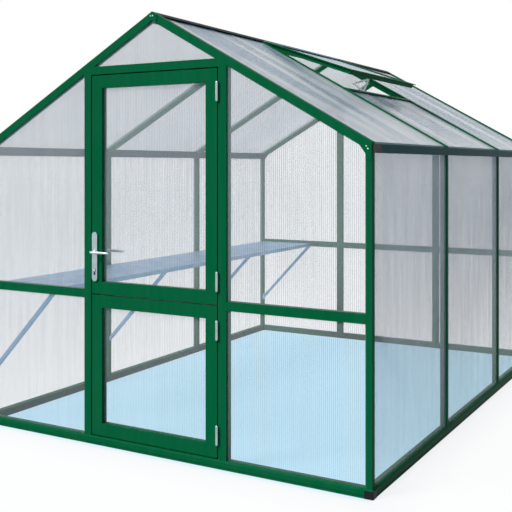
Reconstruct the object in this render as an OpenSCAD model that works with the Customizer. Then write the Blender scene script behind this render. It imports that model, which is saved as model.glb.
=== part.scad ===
/* [House] */
// Width over the side frames
house_w = 2450; // [1800:10:3200]
// Length over the gable frames
house_l = 3360; // [2400:10:5000]
// Height of the roof plane above the side wall's outer face
eave_h = 1615; // [1450:5:1900]
// Slope of the roof, in degrees
roof_pitch = 29.5; // [24:0.5:36]
// Number of panel bays along the length
bay_count = 3; // [3:1:5]

/* [Sheets] */
// Thickness of the twin-wall sheets
panel_t = 10; // [6:1:12]
// Distance from a frame's outer face back to the sheet
panel_in = 8; // [5:1:12]
// Depth of the grooves that hold the sheets' edges
groove_d = 9; // [7:1:10]
// Play on each face of a sheet in its groove
sheet_play = 0.5; // [0.2:0.1:1]
// Gap between a sheet's edge and the bottom of its groove
edge_gap = 1; // [0.5:0.5:3]

/* [Frame profiles] */
// Depth of the side and roof bars
frame_d = 40; // [34:1:60]
// Face width of the side and roof bars
bar_w = 25; // [22:1:40]
// Face of a corner post, seen from the gable
post_face = 29; // [24:1:45]
// Depth of the corner posts and gable rafters along the house
gable_d = 33; // [30:1:50]
// Face height of the gable rafters
rafter_face = 42; // [36:1:60]
// Gap where the two rafters of a gable meet
mitre_gap = 0.6; // [0.2:0.1:1]
// Height of the base sill
sill_h = 44; // [36:1:70]
// How far the sill stands out from the frame
sill_out = 8; // [4:1:14]
// Fall of the sill's sloping top edge
sill_fall = 6; // [2:1:10]
// Height of the face below the sloping strip of the eave beam
eave_face_h = 41; // [34:1:60]
// Width of the eave beam's sloping strip
eave_strip = 20; // [14:1:30]
// Width of each wing of the ridge beam, down the slope
ridge_wing = 45; // [30:1:70]
// Face height of the rails across the gables
rail_h = 46; // [34:1:60]
// Height of the middle of the gable rails, and of the door's split
split_z = 810; // [700:5:1000]
// Thickness of the black corner caps
cap_t = 2; // [1:0.5:4]
// Arm length of the sill's corner caps
cap_arm = 42; // [30:1:70]
// Length of the covers on the ends of the eave beams
eave_cap_l = 102; // [60:1:150]
// Thickness of the joint plates on the gables
plate_t = 3; // [2:0.5:5]

/* [Door] */
// Width of the door leaves
door_w = 800; // [650:5:950]
// Height of the lower edge of the header
door_top = 1998; // [1800:1:2010]
// Gap at the hinge side, the head, the sill and the split
door_gap = 6; // [5:0.5:10]
// Gap at the lock side
lock_gap = 7; // [6:0.5:12]
// Depth of the door leaves
leaf_d = 40; // [34:1:44]
// Face width of the leaf's upright stiles
stile_w = 68; // [60:1:90]
// Face height of the leaf's rails
leaf_rail_h = 67; // [50:1:90]
// Distance from the leaf's outer face back to its sheet
leaf_in = 18; // [8:1:20]
// Face width of the door posts and of the rear mullions
door_post_w = 47; // [40:1:60]
// Depth of the door posts and of the header
door_post_d = 46; // [44:1:60]
// Face height of the header
header_h = 43; // [36:1:60]
// Thickness of the strips that the closed leaves face
stop_t = 8; // [5:1:12]
// How far the stop strips reach into the doorway
stop_in = 12; // [8:1:20]
// Width of the stop strips on the posts and the header
stop_w = 36; // [30:1:50]

/* [Door fittings] */
// Length of a hinge barrel
hinge_l = 103; // [80:1:130]
// Diameter of a hinge barrel
hinge_dia = 15; // [12:1:16]
// Diameter of the hinge pins
pin_dia = 8; // [6:0.5:9]
// Radial play of the hinge pins
pin_play = 0.08; // [0.03:0.01:0.1]
// How far the hinge line stands out from the door's face
hinge_out = 8; // [8:0.5:12]
// Thickness of the hinge flags in the gap
flag_t = 2.2; // [1.5:0.1:2.4]
// Inset of the lock's middle line from the leaf's edge
lock_inset = 23; // [20:1:40]
// Width of the lock's long plates
lock_plate_w = 36; // [28:1:40]
// Length of the lock's long plates
lock_plate_l = 266; // [200:1:280]
// Thickness of the lock's long plates
lock_plate_t = 8; // [4:1:12]
// Height of the middle of the long plates
lock_z = 1014; // [980:1:1100]
// Lever axis above the middle of the long plates
lever_up = 26; // [10:1:60]
// Key cylinder below the middle of the long plates
key_down = 74; // [40:1:90]
// Length of a lever from its axis to its tip
lever_l = 127; // [90:1:140]
// Thickness of a lever's grip
lever_dia = 18; // [14:1:22]
// Distance from the leaf's face to the middle of the grip
lever_out = 46; // [36:1:60]
// Radial play of the lever's neck in its plate
neck_play = 0.3; // [0.1:0.1:0.6]
// Side of the square spindle
spindle_w = 8; // [6:1:10]
// Diameter of the key cylinder
key_dia = 17; // [14:1:18]
// Play around the key cylinder
key_play = 0.3; // [0.1:0.1:0.6]

/* [Roof window] */
// Angle by which the roof window stands open
vent_open = 10; // [4:1:25]
// Middle of the roof window's sill bar, down the slope from the ridge
vent_sill_s = 690; // [500:5:800]
// Gap between the ridge beam and the window's top rail
vent_gap = 8; // [6:1:14]
// Thickness of the flange that laps over the roof bars
vent_lip = 6; // [4:1:7]
// Depth of the window's rails
vent_d = 32; // [28:1:45]
// Width of the window's rails below the flange
vent_rail_w = 20; // [16:1:30]
// Gap between the window's rails and the roof bars
vent_clear = 5; // [3:1:8]
// Distance of the window's edge from the middle of a roof bar
vent_edge = 2; // [1:0.5:4]
// Play of the window's hinge rod
rod_play = 0.3; // [0.1:0.1:0.6]
// Distance of the window stay from the middle of the bay's first roof bar
stay_y = 333; // [100:1:900]
// Width of the window stay's arms
stay_w = 12; // [8:1:16]
// Thickness of the window stay's arms
stay_t = 4; // [3:1:6]
// Length of the stay's foot along its sill bar
stay_foot_l = 90; // [40:1:160]
// Reach of the stay's elbow from its foot, up the slope
stay_reach = 95; // [60:1:140]
// Height of the stay's elbow above the roof plane
stay_rise = 6; // [0:1:14]

/* [Shelf] */
// Width of the shelf, from the side frame's outer face
shelf_w = 520; // [350:10:600]
// Height of the shelf's top
shelf_z = 814; // [700:1:900]
// Height of the shelf's rails
shelf_h = 27; // [20:1:40]
// Width of the shelf's long rails and cross bearers
shelf_rail_w = 20; // [15:1:30]
// Thickness of the shelf's boards
board_t = 12; // [8:1:16]
// Number of boards side by side
board_count = 4; // [3:1:6]
// Gap between the boards
board_gap = 6; // [3:1:12]
// Height where the braces meet the wall
brace_z = 285; // [150:5:400]
// Width of a brace, measured upright
brace_w = 28; // [20:1:40]
// Play at the ends of the shelf
shelf_play = 0.3; // [0.1:0.1:1]
// Thickness of the end braces' foot plates
foot_t = 4; // [3:1:6]
// Height of the end braces' foot plates
foot_h = 50; // [40:1:80]

/* [Hidden] */

green = [0.0, 0.33, 0.2];
silver = [0.78, 0.79, 0.8];
black = [0.06, 0.06, 0.07];
clear_white = [0.82, 0.88, 0.92, 0.6];

// The house is drawn with its front gable's face at y = 0, then moved so that its box is centred.
side_x = house_w / 2;
lever_reach = lever_out + lever_dia / 2;
front_y = -(house_l + sill_out + cap_t - lever_reach) / 2;
pitch_y = house_l / bay_count;
bar_ys = [for (k = [1 : bay_count - 1]) k * pitch_y];

slot_in = panel_in - sheet_play;
slot_out = panel_in + panel_t + sheet_play;
bite = groove_d - edge_gap;

// Heights in the roof plane: n is measured square to the slope, outwards from the rafters' top face.
function roof_z(x, n) = ridge_h - abs(x) * tan(roof_pitch) + n / cos(roof_pitch);
ridge_h = eave_h + side_x * tan(roof_pitch);
eave_bottom = roof_z(side_x, -panel_in) - eave_face_h;
strip_x = side_x - eave_strip * cos(roof_pitch);
roof_sheet_end = (strip_x + panel_in * sin(roof_pitch)) / cos(roof_pitch) - edge_gap;

// Door
leaf_x = door_w / 2;
hinge_post_x = leaf_x + door_gap;
lock_post_x = -leaf_x - lock_gap;
hinge_x = leaf_x + door_gap / 2;
lower_leaf_z0 = sill_h + door_gap;
lower_leaf_z1 = split_z - door_gap / 2;
upper_leaf_z0 = split_z + door_gap / 2;
upper_leaf_z1 = door_top - door_gap;
post_out_x = max(hinge_post_x, -lock_post_x) + door_post_w;
header_top = door_top + header_h;
lock_x = -leaf_x + lock_inset;
lever_z = lock_z + lever_up;
key_z = lock_z - key_down;
neck_dia = lever_dia;
hinge_inset = 68;
upper_hinge_zs = [upper_leaf_z0 + hinge_inset + hinge_l / 2 - 4, upper_leaf_z1 - hinge_inset - hinge_l / 2 + 4];
lower_hinge_zs = [lower_leaf_z0 + hinge_inset + hinge_l / 2 - 4, lower_leaf_z1 - hinge_inset - hinge_l / 2];

// Roof window, in the second bay of the right slope
vent_y0 = bar_ys[0];
vent_y1 = bar_ys[1];
vent_s = ridge_wing + vent_gap;
vent_l = vent_sill_s - vent_edge - vent_s;
vent_body = bar_w / 2 + vent_clear;
vent_in = vent_body + vent_rail_w;

// Shelf along the left side
shelf_x0 = -side_x + frame_d;
shelf_x1 = -side_x + shelf_w;
end_bearer_y = frame_d + shelf_rail_w / 2 + shelf_play;
bearer_ys = concat([end_bearer_y], bar_ys, [house_l - end_bearer_y]);
joint_lap = 1;

module placed() { translate([0, front_y, 0]) children(); }

module both_sides() {
    children();
    mirror([1, 0, 0]) children();
}

module both_ends() {
    children();
    translate([0, house_l, 0]) mirror([0, 1, 0]) children();
}

// A section drawn in x and z, run from y0 to y1.
module run_y(y0, y1) { translate([0, y1, 0]) rotate([90, 0, 0]) linear_extrude(y1 - y0) children(); }

// A section drawn in y and z, run from x0 to x1.
module run_x(x0, x1) { translate([x0, 0, 0]) rotate([90, 0, 90]) linear_extrude(x1 - x0) children(); }

module block(low, high) { translate(low) cube(high - low); }

// The right slope's own frame: x runs down the slope from the ridge, z points outwards.
module on_slope() { translate([0, 0, ridge_h]) rotate([0, roof_pitch, 0]) children(); }

// The open roof window's own frame, from its top edge.
module on_vent() { on_slope() translate([vent_s, 0, vent_lip]) rotate([0, -vent_open, 0]) children(); }

// All that lies under a line parallel to the roof, n from the rafters' top face.
module under_roof(n) {
    run_y(-100, house_l + 100)
        polygon([[-house_w, -10], [house_w, -10], [house_w, roof_z(house_w, n)],
            [0, roof_z(0, n)], [-house_w, roof_z(house_w, n)]]);
}

// A bar seen end on, its outer face at y = 0 and a groove for a sheet in each side.
module bar_section(w, d) {
    difference() {
        translate([-w / 2, -d]) square([w, d]);
        for (m = [0, 1])
            mirror([m, 0]) translate([w / 2 - groove_d, -slot_out]) square([groove_d + 1, slot_out - slot_in]);
    }
}

// A gable rail seen end on, y inwards from the face, grooves above and below where asked.
module rail_section(h, d, above, below) {
    difference() {
        square([d, h]);
        if (above) translate([slot_in, h - groove_d]) square([slot_out - slot_in, groove_d + 1]);
        if (below) translate([slot_in, -1]) square([slot_out - slot_in, groove_d + 1]);
    }
}

// The base sill seen end on: x inwards from the frame's face, with a shadow line and a sloping lip.
module sill_section() {
    line_z = 9;
    line_h = 3;
    line_d = 3;
    difference() {
        polygon([[-sill_out, 0], [frame_d, 0], [frame_d, sill_h], [0, sill_h], [-sill_out, sill_h - sill_fall]]);
        translate([-sill_out - 1, line_z]) square([line_d + 1, line_h]);
        translate([slot_in, sill_h - groove_d]) square([slot_out - slot_in, groove_d + 1]);
    }
}

module gable_sills() {
    out = side_x + sill_out;
    inner = side_x - frame_d;
    color(green) placed() both_ends() intersection() {
        run_x(-out, out) sill_section();
        linear_extrude(sill_h)
            polygon([[-out, -sill_out], [out, -sill_out], [inner, frame_d], [-inner, frame_d]]);
    }
}

module side_sills() {
    out = side_x + sill_out;
    inner = side_x - frame_d;
    color(green) placed() both_sides() intersection() {
        run_y(-sill_out, house_l + sill_out) translate([side_x, 0]) mirror([1, 0]) sill_section();
        linear_extrude(sill_h)
            polygon([[out, -sill_out], [out, house_l + sill_out],
                [inner, house_l - frame_d], [inner, frame_d]]);
    }
}

module corner_caps() {
    out = side_x + sill_out;
    nose = 3;
    cap_h = sill_h - sill_fall;
    eave_cap_y = 10;
    color(black) placed() both_sides() both_ends() {
        linear_extrude(cap_h)
            polygon([[out - cap_arm, -sill_out - cap_t], [out + cap_t - nose, -sill_out - cap_t],
                [out + cap_t, -sill_out - cap_t + nose], [out + cap_t, -sill_out + cap_arm],
                [out, -sill_out + cap_arm], [out, -sill_out], [out - cap_arm, -sill_out]]);
        block([side_x, eave_cap_y, eave_bottom], [side_x + cap_t, eave_cap_y + eave_cap_l, eave_bottom + eave_face_h]);
    }
}

module corner_posts() {
    color(green) placed() both_sides() both_ends() intersection() {
        translate([side_x, 0, sill_h]) mirror([1, 0, 0]) linear_extrude(ridge_h) difference() {
            union() {
                square([post_face, slot_out]);
                translate([0, slot_out]) square([frame_d, gable_d - slot_out]);
            }
            translate([post_face - groove_d, slot_in]) square([groove_d + 1, slot_out - slot_in]);
            translate([slot_in, gable_d - groove_d]) square([slot_out - slot_in, groove_d + 1]);
        }
        under_roof(-rafter_face);
    }
}

module side_bars() {
    color(green) placed() both_sides() for (y = bar_ys)
        translate([side_x, y, sill_h]) linear_extrude(eave_bottom - sill_h) rotate(-90) bar_section(bar_w, frame_d);
}

// The eave beam's outline, without the groove for the side wall's sheets.
module eave_outline() {
    inner = side_x - frame_d;
    step_x = strip_x - (panel_t + sheet_play) * sin(roof_pitch);
    polygon([[side_x, eave_bottom], [side_x, roof_z(side_x, -panel_in)], [strip_x, roof_z(strip_x, -panel_in)],
        [step_x, roof_z(step_x, -slot_out)], [inner, roof_z(inner, -slot_out)], [inner, eave_bottom]]);
}

module eave_beams() {
    color(green) placed() both_sides() run_y(gable_d, house_l - gable_d) difference() {
        eave_outline();
        translate([side_x - slot_out, eave_bottom - 1]) square([slot_out - slot_in, groove_d + 1]);
    }
}

// A point of the right slope, s down the slope and n outwards.
function slope_xz(s, n) = [s * cos(roof_pitch) + n * sin(roof_pitch),
    ridge_h - s * sin(roof_pitch) + n * cos(roof_pitch)];

module ridge_beam() {
    wing = ridge_wing;
    root = ridge_wing - groove_d;
    half = [slope_xz(wing, 0), slope_xz(wing, -slot_in), slope_xz(root, -slot_in), slope_xz(root, -slot_out),
        slope_xz(wing, -slot_out), slope_xz(wing, -frame_d)];
    left_half = [for (k = [len(half) - 1 : -1 : 0]) [-half[k][0], half[k][1]]];
    color(green) placed() run_y(gable_d, house_l - gable_d)
        polygon(concat([[0, ridge_h]], half, left_half));
}

module gable_rafters() {
    color(green) placed() both_sides() both_ends() intersection() {
        on_slope() run_x(-rafter_face, side_x / cos(roof_pitch) + rafter_face) difference() {
            translate([0, -rafter_face]) square([gable_d, rafter_face]);
            translate([gable_d - groove_d, -slot_out]) square([groove_d + 1, slot_out - slot_in]);
            translate([slot_in, -rafter_face - 1]) square([slot_out - slot_in, groove_d + 1]);
        }
        block([mitre_gap / 2, -1, 0], [side_x, gable_d + 1, ridge_h + 1]);
    }
}

// A roof bar from s0 down to the eave beam, on which its end is cut to sit.
module roof_bar(y) {
    difference() {
        intersection() {
            on_slope() translate([0, y, 0]) run_x(ridge_wing, side_x / cos(roof_pitch) + frame_d)
                bar_section(bar_w, frame_d);
            block([0, y - bar_w, 0], [side_x, y + bar_w, ridge_h + 1]);
        }
        run_y(y - bar_w, y + bar_w) eave_outline();
    }
}

module roof_bars() {
    color(green) placed() both_sides() for (y = bar_ys) roof_bar(y);
}

// Joint plates on the faces of the gables: a ridge plate, and an eave plate with a chamfered inner edge.
module joint_plates() {
    ridge_half = 32;
    eave_low = 34;
    eave_leg = 60;
    edge = 1;
    color(green) placed() both_ends() run_y(-plate_t, 0) {
        polygon([[0, roof_z(0, -edge)], [ridge_half, roof_z(ridge_half, -edge)],
            [ridge_half, roof_z(ridge_half, -rafter_face + edge)], [0, roof_z(0, -rafter_face + edge)],
            [-ridge_half, roof_z(ridge_half, -rafter_face + edge)], [-ridge_half, roof_z(ridge_half, -edge)]]);
        both_sides() polygon([[side_x - edge, roof_z(side_x, -edge)],
            [side_x - eave_leg, roof_z(side_x - eave_leg, -edge)],
            [side_x - eave_leg, roof_z(side_x - eave_leg, -rafter_face)],
            [side_x - post_face, roof_z(side_x, -rafter_face) - eave_low / 4],
            [side_x - post_face + edge, roof_z(side_x, -rafter_face) - eave_low],
            [side_x - edge, roof_z(side_x, -rafter_face) - eave_low]]);
    }
}

// A post of the gable, its inner face at x and running out from there, with a groove in the outer side.
module gable_post(x, out_x, z0) {
    intersection() {
        translate([0, 0, z0]) linear_extrude(ridge_h) difference() {
            translate([x, 0]) square([out_x - x, door_post_d]);
            translate([out_x - groove_d, slot_in]) square([groove_d + 1, slot_out - slot_in]);
        }
        under_roof(-rafter_face);
    }
}

module door_posts() {
    color(green) placed() {
        gable_post(hinge_post_x, post_out_x, sill_h);
        mirror([1, 0, 0]) gable_post(-lock_post_x, post_out_x, sill_h);
    }
}

module door_header() {
    color(green) placed() intersection() {
        run_x(lock_post_x, hinge_post_x) translate([0, door_top])
            rail_section(header_h, door_post_d, true, false);
        under_roof(-rafter_face);
    }
}

module door_stops() {
    y0 = door_post_d;
    y1 = door_post_d + stop_t;
    head_z = door_top - stop_in;
    color(green) placed() {
        block([hinge_post_x - stop_in, y0, sill_h + door_gap], [hinge_post_x - stop_in + stop_w, y1, head_z]);
        block([lock_post_x + stop_in - stop_w, y0, sill_h + door_gap], [lock_post_x + stop_in, y1, head_z]);
        block([lock_post_x + stop_in + joint_lap, y0, head_z],
            [hinge_post_x - stop_in - joint_lap, y1, head_z + stop_w]);
    }
}

// A rail across one side bay of a gable, notched round the corner post.
module side_bay_rail() {
    z0 = split_z - rail_h / 2;
    difference() {
        run_x(post_out_x, side_x - post_face) translate([0, z0]) rail_section(rail_h, frame_d, true, true);
        block([side_x - frame_d, slot_out, z0 - 1], [side_x, frame_d + 1, z0 + rail_h + 1]);
    }
}

module front_mid_rails() {
    color(green) placed() both_sides() side_bay_rail();
}

module rear_mullions() {
    x0 = post_out_x - door_post_w;
    color(green) placed() both_sides() translate([0, house_l, 0]) mirror([0, 1, 0]) intersection() {
        translate([0, 0, sill_h]) linear_extrude(ridge_h) difference() {
            translate([x0, 0]) square([door_post_w, frame_d]);
            translate([post_out_x - groove_d, slot_in]) square([groove_d + 1, slot_out - slot_in]);
            translate([x0 - 1, slot_in]) square([groove_d + 1, slot_out - slot_in]);
        }
        under_roof(-rafter_face);
    }
}

module rear_rails() {
    x0 = post_out_x - door_post_w;
    z0 = split_z - rail_h / 2;
    color(green) placed() translate([0, house_l, 0]) mirror([0, 1, 0]) {
        both_sides() side_bay_rail();
        run_x(-x0, x0) translate([0, z0]) rail_section(rail_h, frame_d, true, true);
        intersection() {
            run_x(-x0, x0) translate([0, door_top]) rail_section(header_h, frame_d, true, true);
            under_roof(-rafter_face);
        }
    }
}

// A sheet of a gable: a box of the wall, its top cut to fit in the rafters' grooves.
module gable_sheet(x0, x1, z0, z1) {
    intersection() {
        block([x0, panel_in, z0], [x1, panel_in + panel_t, z1]);
        under_roof(-rafter_face + bite);
    }
}

module side_bay_sheets() {
    x0 = post_out_x - bite;
    x1 = side_x - post_face + bite;
    rail_low = split_z - rail_h / 2;
    gable_sheet(x0, x1, sill_h - bite, rail_low + bite);
    gable_sheet(x0, x1, rail_low + rail_h - bite, ridge_h);
}

module front_sheets() {
    color(clear_white) placed() {
        both_sides() side_bay_sheets();
        gable_sheet(lock_post_x + edge_gap, hinge_post_x - edge_gap, header_top - bite, ridge_h);
    }
}

module rear_sheets() {
    x0 = post_out_x - door_post_w + bite;
    rail_low = split_z - rail_h / 2;
    color(clear_white) placed() translate([0, house_l, 0]) mirror([0, 1, 0]) {
        both_sides() side_bay_sheets();
        gable_sheet(-x0, x0, sill_h - bite, rail_low + bite);
        gable_sheet(-x0, x0, rail_low + rail_h - bite, door_top + bite);
        gable_sheet(-x0 + bite + edge_gap, x0 - bite - edge_gap, header_top - bite, ridge_h);
    }
}

// The length of house that the sheet of one bay covers, from edge to edge.
function bay_y0(k) = (k == 0 ? gable_d : k * pitch_y + bar_w / 2) - bite;
function bay_y1(k) = (k == bay_count - 1 ? house_l - gable_d : (k + 1) * pitch_y - bar_w / 2) + bite;

module side_sheets() {
    top_z = min(eave_bottom + bite, roof_z(side_x - panel_in, -rafter_face) - edge_gap);
    for (k = [0 : bay_count - 1])
        block([side_x - panel_in - panel_t, bay_y0(k), sill_h - bite], [side_x - panel_in, bay_y1(k), top_z]);
}

module left_side_sheets() { color(clear_white) placed() mirror([1, 0, 0]) side_sheets(); }

module right_side_sheets() { color(clear_white) placed() side_sheets(); }

module roof_sheet(k, s0) {
    on_slope() block([s0, bay_y0(k), -panel_in - panel_t], [roof_sheet_end, bay_y1(k), -panel_in]);
}

module left_roof_sheets() {
    color(clear_white) placed() mirror([1, 0, 0]) for (k = [0 : bay_count - 1]) roof_sheet(k, ridge_wing - bite);
}

module right_roof_sheets() {
    vent_bay = 1;
    color(clear_white) placed() for (k = [0 : bay_count - 1])
        roof_sheet(k, k == vent_bay ? vent_sill_s + bar_w / 2 - bite : ridge_wing - bite);
}

module vent_sill_bar() {
    color(green) placed() on_slope() translate([vent_sill_s, 0, 0]) run_y(vent_y0 + bar_w / 2, vent_y1 - bar_w / 2)
        difference() {
            translate([-bar_w / 2, -frame_d]) square([bar_w, frame_d]);
            translate([bar_w / 2 - groove_d, -slot_out]) square([groove_d + 1, slot_out - slot_in]);
        }
}

// A rail of the roof window seen end on: x inwards from the middle of the roof bar.
module vent_rail_section() {
    difference() {
        union() {
            translate([vent_edge, -vent_lip]) square([vent_in - vent_edge, vent_lip]);
            translate([vent_body, -vent_d]) square([vent_rail_w, vent_d]);
        }
        translate([vent_in - groove_d, -slot_out]) square([groove_d + 1, slot_out - slot_in]);
    }
}

module vent_side_rails() {
    low_end = vent_l + vent_edge - vent_body;
    color(green) placed() for (m = [0, 1])
        translate([0, m * (vent_y0 + vent_y1), 0]) mirror([0, m, 0]) on_vent() translate([0, vent_y0, 0])
            difference() {
                run_x(0, vent_l) vent_rail_section();
                block([low_end, 0, -vent_d - 1], [vent_l + 1, vent_in + 1, -vent_lip]);
            }
}

module vent_end_rails() {
    y0 = vent_y0 + vent_in;
    y1 = vent_y1 - vent_in;
    color(green) placed() on_vent() {
        run_y(y0, y1) difference() {
            translate([0, -vent_d]) square([vent_rail_w, vent_d]);
            translate([vent_rail_w - groove_d, -slot_out]) square([groove_d + 1, slot_out - slot_in]);
        }
        run_y(y0, y1) translate([vent_l + vent_edge, 0]) mirror([1, 0]) vent_rail_section();
    }
}

module vent_sheet() {
    s0 = vent_rail_w - bite;
    s1 = vent_l + vent_edge - vent_in + bite;
    y0 = vent_y0 + vent_in - bite;
    y1 = vent_y1 - vent_in + bite;
    color(clear_white) placed() on_vent() block([s0, y0, -panel_in - panel_t], [s1, y1, -panel_in]);
}

module vent_hinge_rod() {
    rod_r = vent_gap / 2 - rod_play;
    rod_drop = 2;
    color(silver) placed() on_slope() translate([ridge_wing + vent_gap / 2, 0, vent_lip - rod_drop])
        run_y(vent_y0 + bar_w / 2, vent_y1 - bar_w / 2) circle(r = rod_r, $fn = 32);
}

// A flat bar between two points, with round ends.
module link(a, b, w) {
    v = b - a;
    side = w / 2 / norm(v) * [-v[1], v[0]];
    polygon([a + side, b + side, b - side, a - side]);
    for (p = [a, b]) translate(p) circle(d = w, $fn = 32);
}

// The scissor stay that holds the roof window open: a foot screwed to the sill bar, a lower arm
// up the slope to an elbow, an upper arm back to the window's lower rail, and an upright link.
module vent_stay() {
    rail_s = vent_l + vent_edge - vent_body - vent_rail_w / 2;
    seat = stay_w / 2 * (1 + tan(vent_open)) + rod_play;
    top = [vent_s + rail_s * cos(vent_open) + vent_d * sin(vent_open),
        vent_lip + rail_s * sin(vent_open) - vent_d * cos(vent_open) - seat];
    foot_s = vent_sill_s - bar_w / 2;
    foot_depth = 24;
    foot = [foot_s - stay_w, -foot_depth / 4];
    elbow = [foot_s - stay_reach, stay_rise];
    pin_l = 4 * stay_t;
    color(silver) placed() on_slope() translate([0, vent_y0 + stay_y, 0]) {
        block([foot_s - stay_t, -stay_foot_l / 2, -foot_depth], [foot_s, stay_foot_l / 2, 0]);
        block([foot_s - stay_w * 3 / 2, -stay_t * 3 / 2, -foot_depth / 2], [foot_s - stay_t / 2, stay_t * 3 / 2, 0]);
        run_y(-stay_t * 3 / 2, -stay_t / 2) link(foot, elbow, stay_w);
        run_y(-stay_t / 2, stay_t / 2) link(elbow, top, stay_w);
        run_y(stay_t / 2, stay_t * 3 / 2) link(foot, top, stay_w);
        for (p = [foot, elbow, top]) translate([p[0], 0, p[1]])
            run_y(-pin_l / 2, pin_l / 2) circle(d = stay_w / 2, $fn = 32);
    }
}

module shelf_boards() {
    x0 = shelf_x0 + shelf_rail_w + shelf_play;
    x1 = shelf_x1 - shelf_rail_w - shelf_play;
    board_w = (x1 - x0 - (board_count - 1) * board_gap) / board_count;
    color(silver) placed() for (k = [0 : board_count - 1])
        block([x0 + k * (board_w + board_gap), frame_d + shelf_play, shelf_z - board_t],
            [x0 + k * (board_w + board_gap) + board_w, house_l - frame_d - shelf_play, shelf_z]);
}

module shelf_rails() {
    color(silver) placed() for (x = [shelf_x0, shelf_x1 - shelf_rail_w])
        block([x, frame_d + shelf_play, shelf_z - shelf_h],
            [x + shelf_rail_w, house_l - frame_d - shelf_play, shelf_z]);
}

module shelf_bearers() {
    color(silver) placed() for (y = bearer_ys)
        block([shelf_x0 + shelf_rail_w, y - shelf_rail_w / 2, shelf_z - shelf_h],
            [shelf_x1 - shelf_rail_w, y + shelf_rail_w / 2, shelf_z - board_t]);
}

module shelf_braces() {
    top_z = shelf_z - shelf_h;
    top_x = shelf_x1 - 1;
    half = shelf_rail_w / 2;
    foot_y0 = slot_out + 2;
    color(silver) placed() {
        for (y = bearer_ys) run_y(y - half, y + half)
            polygon([[shelf_x0, brace_z], [top_x, top_z], [top_x - brace_w, top_z], [shelf_x0, brace_z + brace_w]]);
        both_ends() block([shelf_x0, foot_y0, brace_z], [shelf_x0 + foot_t, end_bearer_y + half, brace_z + foot_h]);
    }
}

// The fixed half of a lift-off hinge: lower barrel, pin, and a flag on the post's inner face.
module hinge_frame_half(z) {
    r = hinge_dia / 2;
    h = hinge_l / 2 - r;
    flag_d = 30;
    pin_up = h - 4;
    split = 0.3;
    translate([hinge_x, -hinge_out, z]) {
        translate([0, 0, -h]) cylinder(r = r, h = h - split, $fn = 48);
        translate([0, 0, -h]) sphere(r = r, $fn = 48);
        translate([0, 0, -h]) cylinder(d = pin_dia, h = h + pin_up, $fn = 48);
    }
    block([hinge_post_x - flag_t, -hinge_out, z - h], [hinge_post_x, flag_d, z - split]);
}

// The moving half: upper barrel, bored for the pin, and a flag on the leaf's edge.
module hinge_leaf_half(z) {
    r = hinge_dia / 2;
    h = hinge_l / 2 - r;
    flag_d = 30;
    split = 0.3;
    bore_d = pin_dia + 2 * pin_play;
    difference() {
        union() {
            translate([hinge_x, -hinge_out, z + split]) cylinder(r = r, h = h - split, $fn = 48);
            translate([hinge_x, -hinge_out, z + h]) sphere(r = r, $fn = 48);
            block([leaf_x, -hinge_out, z + split], [leaf_x + flag_t, flag_d, z + h]);
        }
        translate([hinge_x, -hinge_out, z - 1]) cylinder(d = bore_d, h = h + 1 - 2, $fn = 48);
    }
}

module frame_hinge_halves() {
    color(silver) placed() for (z = concat(upper_hinge_zs, lower_hinge_zs)) hinge_frame_half(z);
}

module upper_hinge_halves() { color(silver) placed() for (z = upper_hinge_zs) hinge_leaf_half(z); }

module lower_hinge_halves() { color(silver) placed() for (z = lower_hinge_zs) hinge_leaf_half(z); }

// The right-hand stile of a leaf, with the sheet's groove in its inner side.
module stile(z0, z1) {
    difference() {
        block([leaf_x - stile_w, 0, z0], [leaf_x, leaf_d, z1]);
        block([leaf_x - stile_w - 1, leaf_in - sheet_play, z0 - 1],
            [leaf_x - stile_w + groove_d, leaf_in + panel_t + sheet_play, z1 + 1]);
    }
}

// A rail of a leaf seen end on, with its groove above.
module leaf_rail_section() {
    difference() {
        square([leaf_d, leaf_rail_h]);
        translate([leaf_in - sheet_play, leaf_rail_h - groove_d])
            square([panel_t + 2 * sheet_play, groove_d + 1]);
    }
}

module leaf_rails(z0, z1) {
    inner = leaf_x - stile_w;
    run_x(-inner, inner) translate([0, z0]) leaf_rail_section();
    run_x(-inner, inner) translate([0, z1]) mirror([0, 1]) leaf_rail_section();
}

module leaf_sheet(z0, z1) {
    x = leaf_x - stile_w + bite;
    block([-x, leaf_in, z0 + leaf_rail_h - bite], [x, leaf_in + panel_t, z1 - leaf_rail_h + bite]);
}

// The key cylinder's outline and its tail, grown by some play.
module key_outline(play) {
    tail_w = 10;
    tail_l = 25;
    circle(d = key_dia + 2 * play, $fn = 40);
    translate([-tail_w / 2 - play, -tail_l - play]) square([tail_w + 2 * play, tail_l + play]);
}

module key_way(y0, y1, play) { translate([lock_x, 0, key_z]) run_y(y0, y1) key_outline(play); }

module upper_leaf_stiles() {
    spindle_hole = spindle_w * 2;
    color(green) placed() {
        stile(upper_leaf_z0, upper_leaf_z1);
        difference() {
            mirror([1, 0, 0]) stile(upper_leaf_z0, upper_leaf_z1);
            key_way(-1, leaf_d + 1, key_play);
            translate([lock_x, 0, lever_z]) run_y(-1, leaf_d + 1) circle(d = spindle_hole, $fn = 40);
        }
    }
}

module upper_leaf_rails() { color(green) placed() leaf_rails(upper_leaf_z0, upper_leaf_z1); }

module upper_leaf_sheet() { color(clear_white) placed() leaf_sheet(upper_leaf_z0, upper_leaf_z1); }

module lower_leaf_stiles() { color(green) placed() both_sides() stile(lower_leaf_z0, lower_leaf_z1); }

module lower_leaf_rails() { color(green) placed() leaf_rails(lower_leaf_z0, lower_leaf_z1); }

module lower_leaf_sheet() { color(clear_white) placed() leaf_sheet(lower_leaf_z0, lower_leaf_z1); }

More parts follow.
